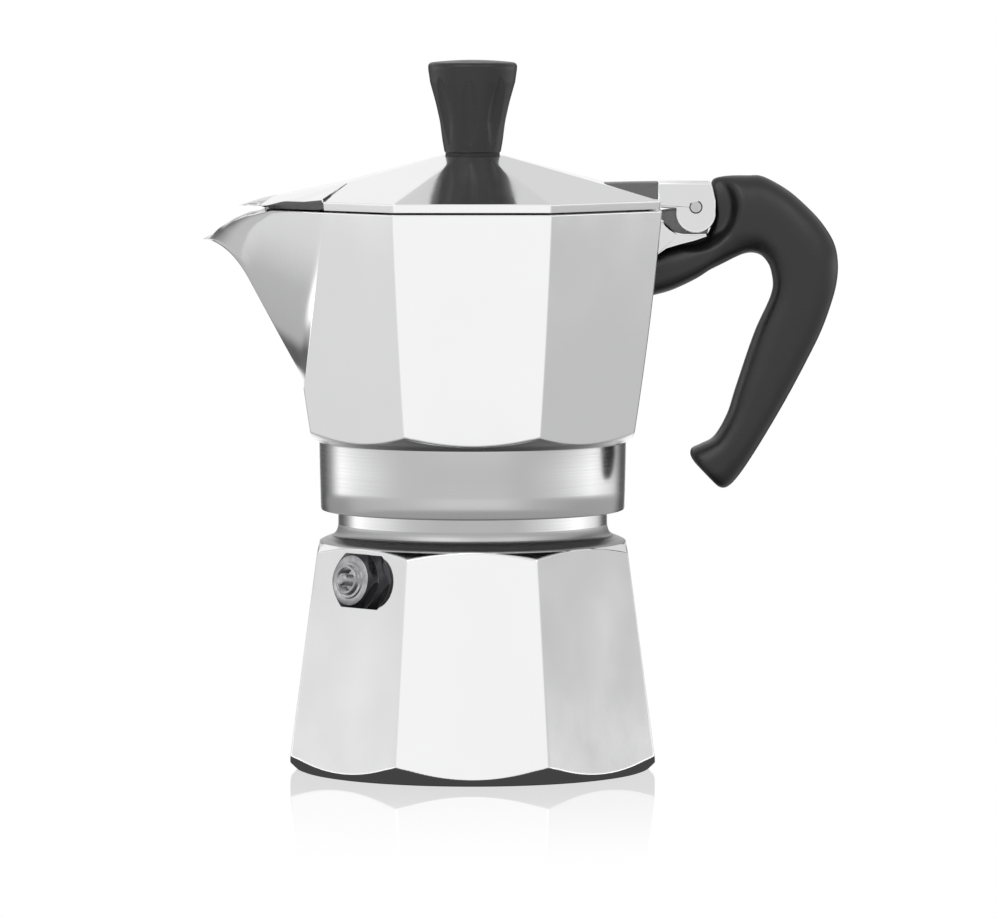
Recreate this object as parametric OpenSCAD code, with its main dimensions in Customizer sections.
// Stove-top moka pot: an eight-sided boiler with a safety valve, a coffee funnel,
// and an eight-sided pouring chamber that screws on, with a hinged lid and a side handle.
// The spout points to -X and the handle to +X. The foot rests on Z = 0.

/* [Boiler] */
// Distance across two opposite flats of the foot
foot_flats = 82.6; // [80:0.2:110]
// How far each flat side leans inwards, in degrees
side_lean = 7.5; // [4:0.1:9]
// Height of the boiler from the foot to the root of its neck
boiler_h = 52.8; // [46:0.2:70]
// Thickness of the boiler's side wall
boiler_wall = 2.8; // [2:0.1:4]
// Thickness of the boiler's floor
boiler_floor = 3; // [2:0.1:6]
// Size of the turned bevel around the foot
foot_bevel = 5.1; // [2:0.1:7]
// Height of the turned shoulder under the neck
shoulder_h = 1.5; // [1:0.1:3]

/* [Neck and thread] */
// Radius of the neck, which is also the root of its thread
neck_r = 30.3; // [28:0.1:31.5]
// Height of the neck above the shoulder
neck_h = 17.7; // [15:0.1:24]
// Thickness of the neck's wall
neck_wall = 2.8; // [2:0.1:4]
// Distance from one turn of the thread to the next
thread_pitch = 3; // [2.4:0.1:4]
// How far the thread stands out from its root
thread_depth = 1.2; // [0.8:0.1:1.4]
// Turns of thread on the neck
thread_turns = 3; // [2:0.5:3.5]
// Gap between the two threads, across their crests
thread_gap = 0.5; // [0.3:0.05:0.8]

/* [Safety valve] */
// Height of the valve's centre above the foot
valve_z = 44.3; // [30:0.1:46]
// Sideways place of the valve on its flat side
valve_side = 4.6; // [-6:0.1:6]
// Distance across the flats of its hexagons
valve_hex = 12; // [10.4:0.1:16]
// Radius of the shank that is screwed through the wall
valve_shank_r = 4; // [3.6:0.05:5]
// Radius of the valve's stem
stem_r = 1.4; // [1:0.05:1.7]
// How far the stem stands out of the valve's face
stem_out = 3; // [1:0.1:4]
// How far the stem can be lifted
stem_travel = 1.5; // [0.5:0.1:1.6]
// Wire thickness of the valve's spring
spring_wire = 0.45; // [0.3:0.05:0.5]

/* [Funnel and gasket] */
// Gap between the funnel's basket and the neck's bore
funnel_gap = 0.5; // [0.3:0.05:1]
// Thickness of the funnel's sheet
funnel_sheet = 0.8; // [0.6:0.1:1.2]
// Inside depth of the coffee basket
basket_depth = 19.5; // [15:0.5:22]
// Outer radius of the funnel's pipe
pipe_r = 5; // [4:0.1:7]
// Gap between the pipe's end and the boiler's floor
pipe_gap = 4; // [2:0.5:10]
// Thickness of the rubber gasket
gasket_t = 3.4; // [2.5:0.1:5]
// Thickness of the filter plate
plate_t = 0.6; // [0.5:0.1:1]
// Radius of the holes in both strainers
strainer_hole_r = 0.7; // [0.4:0.05:0.9]

/* [Chamber] */
// Height of the collar's bottom edge above the boiler's shoulder
collar_lift = 5.7; // [4:0.1:8]
// Height of the turned collar
collar_h = 15.3; // [14.5:0.1:22]
// Thickness of the collar's wall at its bottom
collar_wall = 2.2; // [1.8:0.1:3]
// Distance across the chamber's flats at its foot
chamber_flats = 72.2; // [71:0.1:84]
// Distance across the chamber's flats at its rim
rim_flats = 84.4; // [78:0.1:100]
// How much the sides bulge at half height
side_bulge = 0.4; // [0.1:0.05:0.8]
// Height of the chamber from the collar to the rim
chamber_h = 52.5; // [46:0.1:70]
// Thickness of the chamber's wall
chamber_wall = 2.4; // [1.6:0.1:3]
// Thickness of the chamber's floor
chamber_floor = 4.1; // [3:0.1:6]
// Height of the coffee column above the chamber's floor
column_h = 38.6; // [25:0.1:42]
// Radius of the coffee column's bore
column_bore = 3; // [2:0.1:4]

/* [Spout] */
// How far the spout's tip stands out from the middle of the pot
spout_reach = 61.2; // [58:0.1:64]
// How far the spout's lip drops below the rim
lip_drop = 7; // [4:0.1:9]
// Where the spout starts on its flat side, below the rim
spout_drop = 39.3; // [32:0.1:42]
// Thickness of the spout's wall
spout_wall = 2.7; // [2.5:0.1:3.2]

/* [Lid] */
// Gap between the chamber's rim and the lid
lid_gap = 0.4; // [0.3:0.05:1]
// Height of the lid's upright edge
lid_edge = 1.9; // [1.4:0.1:3]
// Rise of the lid's eight slopes from the edge to the knob
lid_rise = 9.7; // [7:0.1:14]
// Thickness of the lid
lid_wall = 1.7; // [1.2:0.1:2.2]
// How far the lid's edge is set in from the chamber's rim
lid_inset = 0.3; // [0.1:0.05:1]
// How far the cover reaches over the spout on the far side
cover_reach = 52.7; // [50:0.1:54]

/* [Knob] */
// Height of the knob
knob_h = 20.8; // [16:0.1:28]
// Radius of the knob's foot
knob_foot_r = 6.3; // [5.8:0.1:8]
// Radius of the knob's top
knob_top_r = 10; // [8.5:0.1:13]
// Number of flutes around the knob
flutes = 8; // [4:1:12]
// Depth of each flute
flute_depth = 0.7; // [0.3:0.05:1]
// Radius of the knob's screw
knob_screw_r = 2; // [1.5:0.1:2.5]

/* [Hinge and handle] */
// Radius of the hinge pin
pin_r = 1.2; // [0.9:0.05:1.6]
// Distance from the rim's flat to the hinge pin
pin_out = 7.8; // [7.6:0.1:10]
// Running clearance around the hinge pin
pin_fit = 0.05; // [0.02:0.01:0.09]
// Thickness of each ear of the lid
ear_t = 2.4; // [1.8:0.1:3.5]
// Width between the two ears
ear_gap = 8.4; // [8:0.1:10]
// Thickness of the handle
handle_t = 14; // [12:0.5:18]
// Width of the handle's tongue inside the bracket
tongue_t = 4.6; // [3.6:0.1:5]

/* [Hidden] */

round_fn = 96;      // smoothness of turned surfaces
small_fn = 48;      // smoothness of small round pieces
far = 90;           // longer than any cut needs to be
seat = 0.05;        // clearance of pieces that are pushed or screwed together
slack = 0.2;        // clearance of pieces that pass each other

function corner(apothem) = apothem / cos(22.5);    // corner radius of an octagon
function blend(a, b, t) = a + (b - a) * t;

// Heights, from the foot upwards
neck_top = boiler_h + neck_h;
collar_z = boiler_h + collar_lift;
collar_top = collar_z + collar_h;
basket_rim = neck_top + funnel_sheet;
gasket_top = basket_rim + gasket_t;
plate_top = gasket_top + plate_t;
floor_z = plate_top + chamber_floor;
rim_z = collar_top + chamber_h;
lid_z = rim_z + lid_gap;
lid_edge_z = lid_z + lid_edge;
lid_top = lid_edge_z + lid_rise;
knob_washer_t = 0.5;
knob_z = lid_top + knob_washer_t;

// Boiler
foot_a = foot_flats / 2;
function boiler_a(z) = foot_a - z * tan(side_lean);    // half the width across flats
foot_r = corner(foot_a) - foot_bevel;
outer_r = corner(foot_a) + 1;
shoulder_z = boiler_h - shoulder_h;
shoulder_r = boiler_a(shoulder_z);
neck_bore = neck_r - neck_wall;
thread_r = neck_r + thread_depth;
thread_z = neck_top - 1 - thread_turns * thread_pitch;
ridge_foot = 0.8;       // half the width of a thread ridge at its foot
ridge_crest = 0.3;      // and at its crest
ridge_bury = 0.5;       // how far a ridge's foot is sunk into its wall

// Collar, and what it presses on the neck
collar_bore = thread_r + thread_gap;
collar_r = collar_bore + collar_wall;
collar_taper = 0.35;
recess_r = collar_bore + slack;
gasket_r = recess_r - slack;
gasket_bore = neck_bore - 1;
collar_thread_r = neck_r + thread_gap;
basket_r = neck_bore - funnel_gap;
screen_z = basket_rim - basket_depth;
screen_t = 0.8;
cone_h = 12;
pipe_z = boiler_floor + pipe_gap;

// Chamber
chamber_a = chamber_flats / 2;
rim_a = rim_flats / 2;
facet_z = collar_top + 2.2;
bulge_z = (facet_z + rim_z) / 2 + 4;
bulge_a = blend(chamber_a, rim_a, (bulge_z - facet_z) / (rim_z - facet_z)) + side_bulge;
function chamber_side(z) = z < bulge_z
    ? blend(chamber_a, bulge_a, (z - facet_z) / (bulge_z - facet_z))
    : blend(bulge_a, rim_a, (z - bulge_z) / (rim_z - bulge_z));
column_top = floor_z + column_h;
column_foot_r = column_bore + 6;
column_top_r = column_bore + 2.5;
dome_r = recess_r - 7;
dome_h = 1.7;
plate_rise = 0.8;       // how far the middle of the filter plate is pressed up

// Spout. Its ridge leans out from the flat side, then bends over to the lip.
spout_z = rim_z - spout_drop;
lip_z = rim_z - lip_drop;
bend_z = lip_z - 9.3;
ridge_lean = 0.54;      // how far the ridge goes out for each millimetre up
ridge_foot_u = chamber_side(spout_z);
bend_u = ridge_foot_u + ridge_lean * (bend_z - spout_z);
bend_steps = 5;
spout_root_u = rim_a - 9.7;
spout_tip_r = 2.5;
channel_tip_r = 0.6;
lip_start = spout_reach - 15.2;
// The dip of the rim over the spout, as shares of its length and of the lip's drop
lip_curve = [[0, 0], [0.08, 0.1], [0.26, 0.16], [0.47, 0.34], [0.7, 0.64], [0.87, 0.97], [1.05, 1]];

// Lid
lid_a = rim_a - lid_inset;
pad_r = knob_foot_r + 0.5;
lid_fall = atan2(lid_rise, lid_a - pad_r);
cover_u = lid_a - 14.6;                 // where the cover leaves the lid's own slope
cover_v = cover_u * tan(22.5);
cover_root_u = lid_a - 8.9;             // where its sides leave the eight-sided edge
cover_edge = lid_a * sqrt(2) - 0.1;     // its sides run at 45 degrees, just inside the lid's
cover_sink = 0.06;      // its roof starts this far under the lid's slope, so the two cross cleanly
cover_z = lid_edge_z + (lid_a - cover_u) * tan(lid_fall) - cover_sink;
cover_fall = 11.3;
cover_side_fall = 16.3;
cover_side_turn = 153;
near_reach = cover_reach - 5.9;         // the side towards -Y is shorter
notch_u = cover_reach - 9.1;
lid_boss_r = 5.5;
lid_boss_z = lid_top - lid_wall - 2.5;

// Hinge
pin_x = rim_a + pin_out;
pin_z = lid_z + 0.1;
ear_out = ear_gap / 2 + ear_t;
lug_half = ear_gap / 2 - slack;
slot_half = tongue_t / 2 + seat;
lobe_r = 4.5;
lobe_drop = 1.35;
ear_top = 5.5;
boss_end = 8.55;
swing_r = 7.4;          // nothing wide stands this near the pin, for the ears to pass
lug_r = 4.2;
wall_in = rim_a - pin_x;    // the rim's flat, seen from the pin
// Lower edge of the bracket, and upper edge of the handle's arm, seen from the pin
bracket_edge = [[2.3, -6.2], [-0.4, -7.4], [-3.6, -8.2], [-6.6, -9.1], [wall_in - 0.6, -10.8]];

// Knob: height and swell of its side, as shares
knob_curve = [[0, 0], [0.12, 0.12], [0.33, 0.3], [0.55, 0.58], [0.76, 0.88], [0.9, 1]];
knob_rim = 1.2;
insert_r = knob_screw_r + 1.6;
insert_z = knob_z + 1;
insert_h = 9;

// Handle outline, seen from the pin: back of the grip, its end, and the finger side
grip_back = [[5, 6.4], [9.5, 6.8], [15, 6.7], [20.8, 3.6], [28.6, -3.9], [32, -10.5], [31.8, -17.4],
    [28.2, -28.5], [21.2, -42.2], [12.8, -56.4], [7.8, -63]];
grip_end = [[6, -63.8], [4.4, -63.3], [0, -57.6], [-1.6, -55.3], [-0.6, -53.8]];
grip_front = [[2.8, -52.9], [7, -48.5], [9.7, -38.8], [13.4, -27.8], [17, -19.6], [17, -14.2],
    [12.2, -10.3], [7, -12.5], [-1.5, -17.1], [-6.5, -19.3]];
arm_foot = [wall_in - 3, -20.4];

// A smooth curve through a list of points, from its first to its last
function curve_at(a, b, c, d, t) = b + 0.5 * t * ((c - a)
    + t * ((2 * a - 5 * b + 4 * c - d) + t * (3 * (b - c) + d - a)));
function curve(p, steps) = [for (i = [0:len(p) - 2], s = [0:steps - 1])
    curve_at(p[max(i - 1, 0)], p[i], p[i + 1], p[min(i + 2, len(p) - 1)], s / steps), p[len(p) - 1]];

// The flat sides that the children are trimmed to: half width a1 at height z1 and a2 at z2
module eight_flats(a1, z1, a2, z2) {
    difference() {
        children();
        for (k = [0:7])
            rotate([0, 0, 45 * k])
                translate([a1, 0, z1])
                    rotate([0, atan2(a2 - a1, z2 - z1), 0])
                        translate([0, -far, -far]) cube([far, 2 * far, 2 * far]);
    }
}

// A straight eight-sided block, flat side towards +X
module octagon_block(apothem, z, h) {
    translate([0, 0, z]) rotate([0, 0, 22.5]) cylinder(r = corner(apothem), h = h, $fn = 8);
}

// Everything above a plane through a point, which falls away towards one direction
module above_plane(point, turn, fall) {
    translate(point) rotate([0, 0, turn]) rotate([0, fall, 0])
        translate([-far, -far, 0]) cube([2 * far, 2 * far, far]);
}

// A plate that stands upright, drawn as seen from the side
module side_plate(points, t) {
    rotate([90, 0, 0]) linear_extrude(t, center = true) polygon(points);
}

// A bar across the pot, centred on its middle plane
module cross_bar(x, z, r, length) {
    translate([x, length / 2, z]) rotate([90, 0, 0]) cylinder(r = r, h = length, $fn = small_fn);
}

// A section of [radius, height] points carried up a right-hand screw
module screw_sweep(section, pitch, turns, steps) {
    n = len(section);
    count = ceil(turns * steps);
    points = [for (i = [0:count], p = section)
        [p[0] * cos(360 * i / steps), p[0] * sin(360 * i / steps), p[1] + pitch * i / steps]];
    sides = [for (i = [0:count - 1], j = [0:n - 1]) let (a = i * n + j, b = i * n + (j + 1) % n)
        each [[a, b, b + n], [a, b + n, a + n]]];
    start = [[for (j = [n - 1:-1:0]) j]];
    end = [[for (j = [0:n - 1]) count * n + j]];
    polyhedron(points, concat(sides, start, end), convexity = 8);
}

// One ridge of thread between an inner and an outer radius
module thread_ridge(r1, half1, r2, half2, turns) {
    translate([0, 0, thread_z])
        screw_sweep([[r1, -half1], [r2, -half2], [r2, half2], [r1, half1]],
            thread_pitch, turns, 48);
}

// Moves children to the valve: +Z runs out of the boiler's side, from its flat face
module at_valve() {
    rotate([0, 0, 225]) translate([boiler_a(valve_z), valve_side, valve_z])
        rotate([0, 90 - side_lean, 0]) children();
}

// A solid or a hole along Z between two heights
module rod(r, z1, z2) {
    translate([0, 0, z1]) cylinder(r = r, h = z2 - z1, $fn = small_fn);
}

module hex_rod(flats, z1, z2) {
    translate([0, 0, z1]) cylinder(r = flats / 2 / cos(30), h = z2 - z1, $fn = 6);
}

// Rings of small holes, and one in the middle
module strainer_holes(rings, spacing, z, h) {
    rod(strainer_hole_r, z, z + h);
    for (ring = [1:rings], k = [0:6 * ring - 1])
        rotate([0, 0, 60 * k / ring]) translate([ring * spacing, 0, 0])
            rod(strainer_hole_r, z, z + h);
}

module boiler() color("gainsboro") difference() {
    union() {
        eight_flats(foot_a, 0, shoulder_r, shoulder_z)
            rotate_extrude($fn = round_fn) polygon([[0, 0], [foot_r, 0],
                [outer_r, outer_r - foot_r],
                [outer_r, shoulder_z - 0.5 * (outer_r - shoulder_r)],
                [shoulder_r, shoulder_z], [shoulder_r - 1.7, boiler_h - 0.6],
                [neck_r + 1.1, boiler_h - 0.1], [neck_r + 1.1, boiler_h], [0, boiler_h]]);
        rotate_extrude($fn = round_fn) polygon([[neck_bore - 1, boiler_h - 2],
            [neck_r + 1.1, boiler_h - 2], [neck_r + 1.1, boiler_h], [neck_r, boiler_h + 0.9],
            [neck_r, neck_top - 0.8], [neck_r - 0.8, neck_top], [neck_bore - 1, neck_top]]);
        thread_ridge(neck_r - ridge_bury, ridge_foot, thread_r, ridge_crest, thread_turns);
    }
    rotate_extrude($fn = round_fn) polygon([[0, boiler_floor],
        [boiler_a(boiler_floor) - boiler_wall - 3, boiler_floor],
        [boiler_a(boiler_floor + 3) - boiler_wall, boiler_floor + 3],
        [boiler_a(shoulder_z - 5) - boiler_wall, shoulder_z - 5],
        [neck_bore, shoulder_z - 1], [neck_bore, neck_top + 1], [0, neck_top + 1]]);
    at_valve() rod(valve_shank_r + seat, -3 * boiler_wall, 2);
}

// Safety valve, drawn with the boiler's flat face at Z = 0
valve_washer_t = 0.4;
valve_flange = 3;
valve_groove = 4;
valve_face = 7.4;
valve_in = -6;
valve_bore_r = valve_shank_r - 0.95;
inlet_r = 1.3;
valve_seat_z = valve_in + 1.5;
seal_t = 0.8;
piston_z = valve_seat_z + seal_t;
piston_t = 0.8;
cap_in = 1.6;
cap_spigot_r = valve_bore_r - seat;

module valve_body() color("dimgray") at_valve() difference() {
    union() {
        rod(valve_shank_r, valve_in, valve_flange);
        hex_rod(valve_hex, valve_washer_t, valve_flange);
        rod(valve_shank_r + 1.1, valve_flange, valve_groove);
    }
    rod(valve_bore_r, valve_seat_z, valve_groove + 1);
    rod(inlet_r, valve_in - 1, valve_seat_z + 0.1);
}

module valve_washer() color("black") at_valve() difference() {
    rod(valve_hex / 2 - 0.2, 0, valve_washer_t);
    rod(valve_shank_r + seat, -1, valve_washer_t + 1);
}

module valve_cap() color("gray") at_valve() difference() {
    union() {
        rod(cap_spigot_r, cap_in, valve_groove);
        intersection() {
            hex_rod(valve_hex, valve_groove, valve_face);
            rotate_extrude($fn = small_fn) polygon([[0, valve_groove],
                [valve_hex / 2 + 1, valve_groove], [valve_hex / 2 + 1, valve_face - 1],
                [valve_hex / 2 - 0.2, valve_face], [0, valve_face]]);
        }
        rod(3.9, valve_face, valve_face + 0.5);
        rod(3.2, valve_face, valve_face + 1.5);
    }
    rod(2.6, valve_face - 1.5, valve_face + 2);
    rod(stem_r + seat, cap_in - 1, valve_face);
}

module valve_stem() color("gray") at_valve()
    rotate_extrude($fn = small_fn) polygon([[0, piston_z], [cap_spigot_r - 0.3, piston_z],
        [cap_spigot_r - 0.3, piston_z + piston_t], [stem_r, piston_z + piston_t],
        [stem_r, valve_face + stem_out - 0.6], [stem_r - 0.4, valve_face + stem_out - 0.1],
        [stem_r - 0.8, valve_face + stem_out], [0, valve_face + stem_out]]);

module valve_seal() color("black") at_valve() difference() {
    rod(inlet_r + 1, valve_seat_z, piston_z);
    rod(0.4, valve_seat_z - 1, valve_seat_z + seal_t / 2);
}

module valve_spring() color("silver") at_valve() {
    spring_r = (stem_r + valve_bore_r) / 2;
    z1 = piston_z + piston_t + spring_wire / 2;
    z2 = cap_in - spring_wire / 2;
    turns = 3.5;
    translate([0, 0, z1])
        screw_sweep([for (k = [0:7]) [spring_r + spring_wire / 2 * cos(45 * k),
            spring_wire / 2 * sin(45 * k)]], (z2 - z1) / turns, turns, 20);
}

// Funnel: flange, coffee basket, cone and pipe, all one sheet thick
module funnel() color("lightgray") rotate_extrude($fn = round_fn) polygon([
    [basket_r - funnel_sheet, basket_rim], [neck_r - 0.3, basket_rim], [neck_r - 0.3, neck_top],
    [basket_r, neck_top], [basket_r, screen_z - 2], [pipe_r, screen_z - 2 - cone_h],
    [pipe_r, pipe_z], [pipe_r - funnel_sheet, pipe_z],
    [pipe_r - funnel_sheet, screen_z - 2 - cone_h + 0.6],
    [basket_r - funnel_sheet - 1.2, screen_z - 2 + 0.6], [basket_r - funnel_sheet - 1.2, screen_z],
    [basket_r - funnel_sheet, screen_z]]);

module funnel_screen() color("silver") difference() {
    rod(basket_r - funnel_sheet - seat, screen_z, screen_z + screen_t);
    strainer_holes(6, (basket_r - 3) / 6.6, screen_z - 1, 3);
}

module gasket() color("ivory") difference() {
    rod(gasket_r, basket_rim, gasket_top);
    rod(gasket_bore, basket_rim - 1, gasket_top + 1);
}

module filter_plate() color("silver") difference() {
    rotate_extrude($fn = round_fn) polygon([[0, gasket_top + plate_rise],
        [dome_r - 4, gasket_top + plate_rise], [dome_r - 3, gasket_top], [gasket_r - 0.5, gasket_top],
        [gasket_r - 0.5, plate_top], [dome_r - 3.3, plate_top], [dome_r - 4.3, plate_top + plate_rise],
        [0, plate_top + plate_rise]]);
    strainer_holes(7, (dome_r - 5) / 7.4, gasket_top - 1, plate_rise + 4);
}

// Half sections of the spout. A section's sides run straight from its root to its rounded tip.
// root is [out from the middle, across]; inset moves the sides inwards.
function spout_root(z) = let (t = (z - spout_z) / (rim_z - spout_z))
    [blend(ridge_foot_u - 0.15, spout_root_u, t),
     blend(ridge_foot_u * tan(22.5), rim_a * sqrt(2) - spout_root_u, t)];
function spout_ring(z, ridge_u, inset, tip_r, z_out) =
    let (root = spout_root(z),
         steep = atan2(root[1], ridge_u - root[0]),
         sharp_u = ridge_u - spout_tip_r + spout_tip_r / sin(steep),
         turn = atan2(root[1], sharp_u - root[0]),
         u = root[0] - inset * sin(turn),
         v = root[1] - inset * cos(turn),
         tip_u = sharp_u - (inset + tip_r) / sin(turn),
         sweep = 90 - turn)
    [[-20, v, z_out], [-u, v, z_out],
     for (k = [1, 0.5, 0, -0.5, -1])
         [-tip_u - tip_r * cos(k * sweep), tip_r * sin(k * sweep), z_out],
     [-u, -v, z_out], [-20, -v, z_out]];
function bend_at(t) = let (z1 = lip_z - 0.35, u1 = bend_u + ridge_lean * (z1 - bend_z))
    [(1 - t) * (1 - t) * bend_z + 2 * t * (1 - t) * z1 + t * t * lip_z,
     (1 - t) * (1 - t) * bend_u + 2 * t * (1 - t) * u1 + t * t * spout_reach];
ridge_line = [[spout_z - 3, ridge_foot_u - 3 * ridge_lean], [spout_z, ridge_foot_u],
    for (k = [1:3]) [blend(spout_z, bend_z, k / 4), blend(ridge_foot_u, bend_u, k / 4)],
    for (k = [0:bend_steps]) bend_at(k / bend_steps),
    [rim_z, spout_reach - 0.6]];

// The spout as a solid, or with an inset the channel inside it
module spout_solid(inset, tip_r, top) {
    rings = [for (p = ridge_line) if (inset == 0 || p[0] >= spout_z)
        spout_ring(p[0], p[1], inset, tip_r, p[0] == rim_z ? top : p[0])];
    n = len(rings[0]);
    last = len(rings) - 1;
    sides = [for (i = [0:last - 1], j = [0:n - 1]) let (a = i * n + j, b = i * n + (j + 1) % n)
        each [[a, a + n, b + n], [a, b + n, b]]];
    polyhedron([for (ring = rings) each ring], concat(sides, [[for (j = [0:n - 1]) j]],
        [[for (j = [n - 1:-1:0]) last * n + j]]), convexity = 4);
}

// The space above the dipping rim of the spout
module above_lip() {
    length = spout_reach - lip_start;
    side_plate(concat([for (p = lip_curve) [-lip_start - p[0] * length, rim_z - p[1] * lip_drop]],
        [[-spout_reach - 20, rim_z - lip_drop], [-spout_reach - 20, rim_z + 20],
         [-lip_start, rim_z + 20]]), far);
}

// The hinge bracket: a lug with a slot between the ears, on a wider ledge under them
module bracket() {
    difference() {
        union() {
            translate([pin_x, 0, pin_z]) side_plate(concat(bracket_edge,
                [[wall_in - 0.6, -1.2], [-lug_r, -0.4], [0, lug_r - 0.2], [3.5, -2.3]]), 2 * lug_half);
            cross_bar(pin_x, pin_z, lug_r, 2 * lug_half);
            difference() {
                translate([pin_x, 0, pin_z]) side_plate(concat(bracket_edge,
                    [[wall_in - 0.6, -4.5], [-4, -5.3], [2.3, -5.3]]), 2 * ear_out);
                cross_bar(pin_x, pin_z, lobe_r + lobe_drop + 0.35, 3 * ear_out);
            }
        }
        translate([pin_x + wall_in + 1.5, -slot_half, pin_z - 5])
            cube([far, 2 * slot_half, far]);
        cross_bar(pin_x, pin_z, pin_r, 3 * ear_out);
    }
}

module chamber_casting() difference() {
    union() {
        rotate_extrude($fn = round_fn) polygon([[0, collar_z], [collar_r - 0.5, collar_z],
            [collar_r, collar_z + 0.5], [collar_r + collar_taper, collar_top],
            [collar_r + collar_taper, collar_top + 1], [0, collar_top + 1]]);
        eight_flats(chamber_a, facet_z, bulge_a, bulge_z)
            eight_flats(bulge_a, bulge_z, rim_a, rim_z)
                rotate_extrude($fn = round_fn) polygon([[0, collar_top], [collar_r, collar_top],
                    [collar_r + 1.5, collar_top + 0.9], [chamber_a + 3, facet_z + 0.6],
                    [corner(rim_a) + 1, facet_z + (corner(rim_a) - chamber_a) * 0.58],
                    [corner(rim_a) + 1, rim_z], [0, rim_z]]);
        spout_solid(0, spout_tip_r, rim_z);
        bracket();
    }
    difference() {
        eight_flats(chamber_a - chamber_wall, facet_z, bulge_a - chamber_wall, bulge_z)
            eight_flats(bulge_a - chamber_wall, bulge_z, rim_a - chamber_wall, rim_z)
                rotate_extrude($fn = round_fn) polygon([[0, floor_z],
                    [chamber_a - chamber_wall - 4, floor_z],
                    [corner(rim_a), floor_z + corner(rim_a) - chamber_a + chamber_wall + 4],
                    [corner(rim_a), rim_z + 1], [0, rim_z + 1]]);
        rotate_extrude($fn = round_fn) polygon([[0, floor_z - 1], [column_foot_r + 2, floor_z - 1],
            [column_foot_r + 2, floor_z], [column_foot_r, floor_z + 2], [column_top_r, column_top - 1],
            [column_top_r - 1, column_top], [0, column_top]]);
    }
    spout_solid(spout_wall, channel_tip_r, rim_z + 1);
    above_lip();
    // Under the floor: threaded collar, gasket recess, and the dome over the filter plate
    rotate_extrude($fn = round_fn) polygon([[0, collar_z - 1], [collar_bore, collar_z - 1],
        [collar_bore, basket_rim - 0.4], [recess_r, basket_rim - 0.4], [recess_r, plate_top],
        [dome_r, plate_top], [dome_r - 2, plate_top + dome_h], [0, plate_top + dome_h]]);
    rod(column_bore, plate_top, column_top - 2.5);
    translate([-far / 2, -2, column_top - 6]) cube([far, 4, 3.5]);
}

// The ridge inside the collar, half a pitch away from the ridge on the neck. It ends half a
// turn sooner, to stay under the gasket.
module collar_thread() {
    translate([0, 0, thread_pitch / 2])
        thread_ridge(collar_thread_r, ridge_crest, collar_bore + ridge_bury, ridge_foot,
            thread_turns - 0.5);
}

module upper_chamber() color("gainsboro") union() {
    chamber_casting();
    collar_thread();
}

// The cover over the spout, seen from above, with a notch in its end
cover_plan = [[-cover_u + 1.5, -cover_v + 3.9], [-cover_root_u, cover_root_u - cover_edge],
    [-near_reach + 0.6, near_reach - 0.6 - cover_edge],
    [-near_reach, near_reach + 0.5 - cover_edge], [-near_reach + 0.3, near_reach + 1.6 - cover_edge],
    [-notch_u, 0], [-cover_reach + 0.8, cover_edge - cover_reach - 1.2],
    [-cover_reach, cover_edge - cover_reach - 0.6],
    [-cover_reach + 0.2, cover_edge - cover_reach + 0.2], [-cover_root_u, cover_edge - cover_root_u],
    [-cover_u + 1.5, cover_v - 3.9]];

// Trims children to the cover's roof, lowered by a thickness
module cover_roof(down) {
    difference() {
        children();
        above_plane([-cover_u, 0, cover_z - down], 180, cover_fall);
        above_plane([-cover_u, cover_v, cover_z - down], cover_side_turn, cover_side_fall);
        above_plane([-cover_u, -cover_v, cover_z - down], -cover_side_turn, cover_side_fall);
    }
}

// Trims children to the lid's eight slopes, lowered by a thickness
module lid_roof(down) {
    difference() {
        children();
        for (k = [0:7])
            above_plane([lid_a * cos(45 * k), lid_a * sin(45 * k), lid_edge_z - down],
                45 * k, lid_fall);
    }
}

module ears() {
    translate([pin_x, 0, pin_z]) {
        side_plate([[-boss_end, -0.3], [lobe_r, -0.3], [lobe_r, ear_top - 1.5],
            [lobe_r - 0.5, ear_top - 0.4], [lobe_r - 1.6, ear_top], [-boss_end, ear_top]], 2 * ear_out);
        side_plate([[-boss_end - 1, 0], [-boss_end + 1, 0], [-boss_end + 1, ear_top - 0.2],
            [-boss_end - 1, ear_top - 0.2]], 2 * ear_out - 1.4);
    }
    cross_bar(pin_x, pin_z - lobe_drop, lobe_r, 2 * ear_out);
}

module lid() color("gainsboro") difference() {
    union() {
        difference() {
            union() {
                lid_roof(0) octagon_block(lid_a, lid_z, lid_top - lid_z);
                cover_roof(0) translate([0, 0, lid_z]) linear_extrude(far / 4) polygon(cover_plan);
            }
            lid_roof(lid_wall) octagon_block(lid_a - lid_wall, lid_z - 1, lid_top - lid_z);
            cover_roof(lid_wall) translate([0, 0, lid_z - 1]) linear_extrude(far / 4)
                polygon([[-cover_u + 3, -cover_v], [-cover_root_u, cover_root_u - cover_edge + 2.5],
                    [-cover_edge + 4, -1.5], [-cover_edge + 4, 1.5],
                    [-cover_root_u, cover_edge - cover_root_u - 2.5], [-cover_u + 3, cover_v]]);
        }
        rod(lid_boss_r, lid_boss_z, lid_top - 0.2);
        translate([pin_x, 0, pin_z]) side_plate([[-boss_end - 13, ear_top - 0.2],
            [-boss_end - 13, 2.6], [-boss_end - 1.5, -0.1], [-boss_end, -0.1],
            [-boss_end, ear_top - 0.2]], 2 * ear_out - 1.4);
        difference() {
            ears();
            translate([pin_x - boss_end, -ear_gap / 2, pin_z - far]) cube([far, ear_gap, 2 * far]);
        }
    }
    rod(knob_screw_r + 0.1, lid_boss_z - 1, lid_top + 1);
    cross_bar(pin_x, pin_z, pin_r + pin_fit, 3 * ear_out);
}

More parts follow.
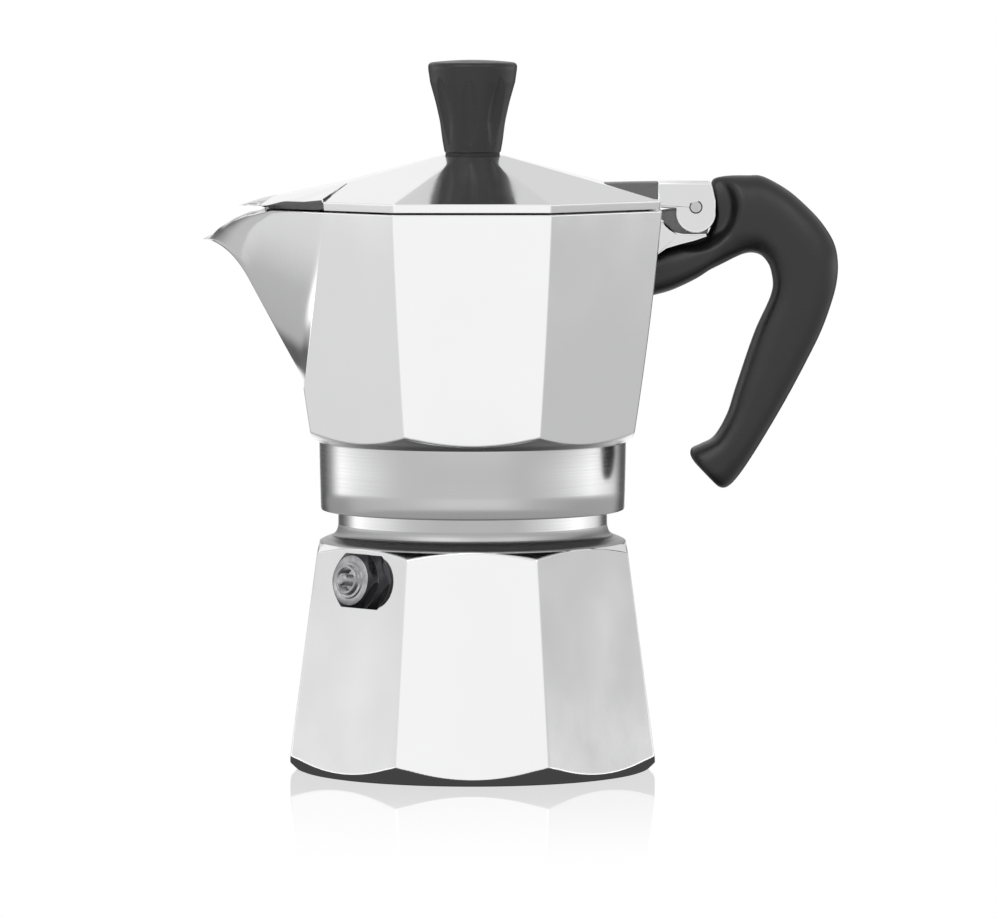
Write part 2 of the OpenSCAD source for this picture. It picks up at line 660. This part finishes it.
module knob() color("black") {
    sides = [for (p = knob_curve) [blend(knob_foot_r, knob_top_r, p[1]), knob_z + p[0] * knob_h]];
    mid_z = knob_z + 0.44 * knob_h;
    mid_r = blend(knob_foot_r, knob_top_r, 0.44);
    difference() {
        rotate_extrude($fn = round_fn) polygon(concat([[0, knob_z]], sides,
            [[knob_top_r - 0.3, knob_z + knob_h - knob_rim], [knob_top_r - 1, knob_z + knob_h - 0.7],
             [knob_top_r * 0.6, knob_z + knob_h - 0.2], [0, knob_z + knob_h]]));
        for (k = [0:flutes - 1])
            rotate([0, 0, 360 * (k + 0.9) / flutes])
                translate([mid_r, 0, mid_z]) rotate([0, 12, 0])
                    translate([35 + 2.5 - flute_depth, 0, 0]) rotate([90, 0, 0])
                        rotate_extrude($fn = round_fn) translate([35, 0])
                            circle(r = 2.5, $fn = small_fn);
        rod(knob_screw_r + 0.1, knob_z - 1, insert_z + 0.5);
        rod(insert_r, insert_z, insert_z + insert_h);
    }
}

module knob_washer() color("dimgray") difference() {
    rod(knob_foot_r - 0.2, lid_top, knob_z);
    rod(knob_screw_r + 0.1, lid_top - 1, knob_z + 1);
}

module knob_insert() color("goldenrod") difference() {
    rod(insert_r, insert_z, insert_z + insert_h);
    rod(knob_screw_r + seat, insert_z - 1, insert_z + insert_h - 1);
}

module knob_screw() color("silver") difference() {
    union() {
        rod(knob_screw_r, lid_boss_z, insert_z + insert_h - 2);
        rod(knob_screw_r * 1.8, lid_boss_z - 2.2, lid_boss_z);
    }
    translate([-far / 2, -0.5, lid_boss_z - 3.2]) cube([far, 1, 2]);
}

// The handle's outline, closed along the bracket and the chamber's flat side
handle_outline = concat(curve(grip_back, 6), curve(grip_end, 3), curve(grip_front, 6),
    [[chamber_side(pin_z + arm_foot[1]) - pin_x, arm_foot[1]],
     [chamber_side(pin_z - 10.8) - pin_x, -10.8]],
    [for (i = [3:-1:0]) bracket_edge[i]], [[3.8, -2.4], [4.6, 0], [4.4, 3.6]]);

module handle() color("black") difference() {
    union() {
        difference() {
            translate([pin_x, 0, pin_z]) side_plate(handle_outline, handle_t);
            cross_bar(pin_x, pin_z, swing_r, 2 * handle_t);
            translate([pin_x - far + 7.3, -handle_t, pin_z - 1]) cube([far, 2 * handle_t, far]);
        }
        difference() {
            intersection() {
                translate([pin_x, 0, pin_z]) side_plate(handle_outline, 2 * lug_half);
                translate([pin_x, -handle_t, pin_z - 8]) cube([9, 2 * handle_t, 20]);
            }
            cross_bar(pin_x, pin_z, lug_r + 0.3, handle_t);
        }
        cross_bar(pin_x, pin_z, lug_r - 0.5, tongue_t);
        translate([pin_x, -tongue_t / 2, pin_z - 2]) cube([6, tongue_t, 4]);
    }
    cross_bar(pin_x, pin_z, pin_r + pin_fit, 2 * handle_t);
}

module hinge_pin() color("silver") cross_bar(pin_x, pin_z, pin_r, 2 * ear_out + 0.4);

boiler();
valve_body();
valve_washer();
valve_cap();
valve_stem();
valve_seal();
valve_spring();
funnel();
funnel_screen();
gasket();
filter_plate();
upper_chamber();
lid();
knob();
knob_washer();
knob_insert();
knob_screw();
handle();
hinge_pin();
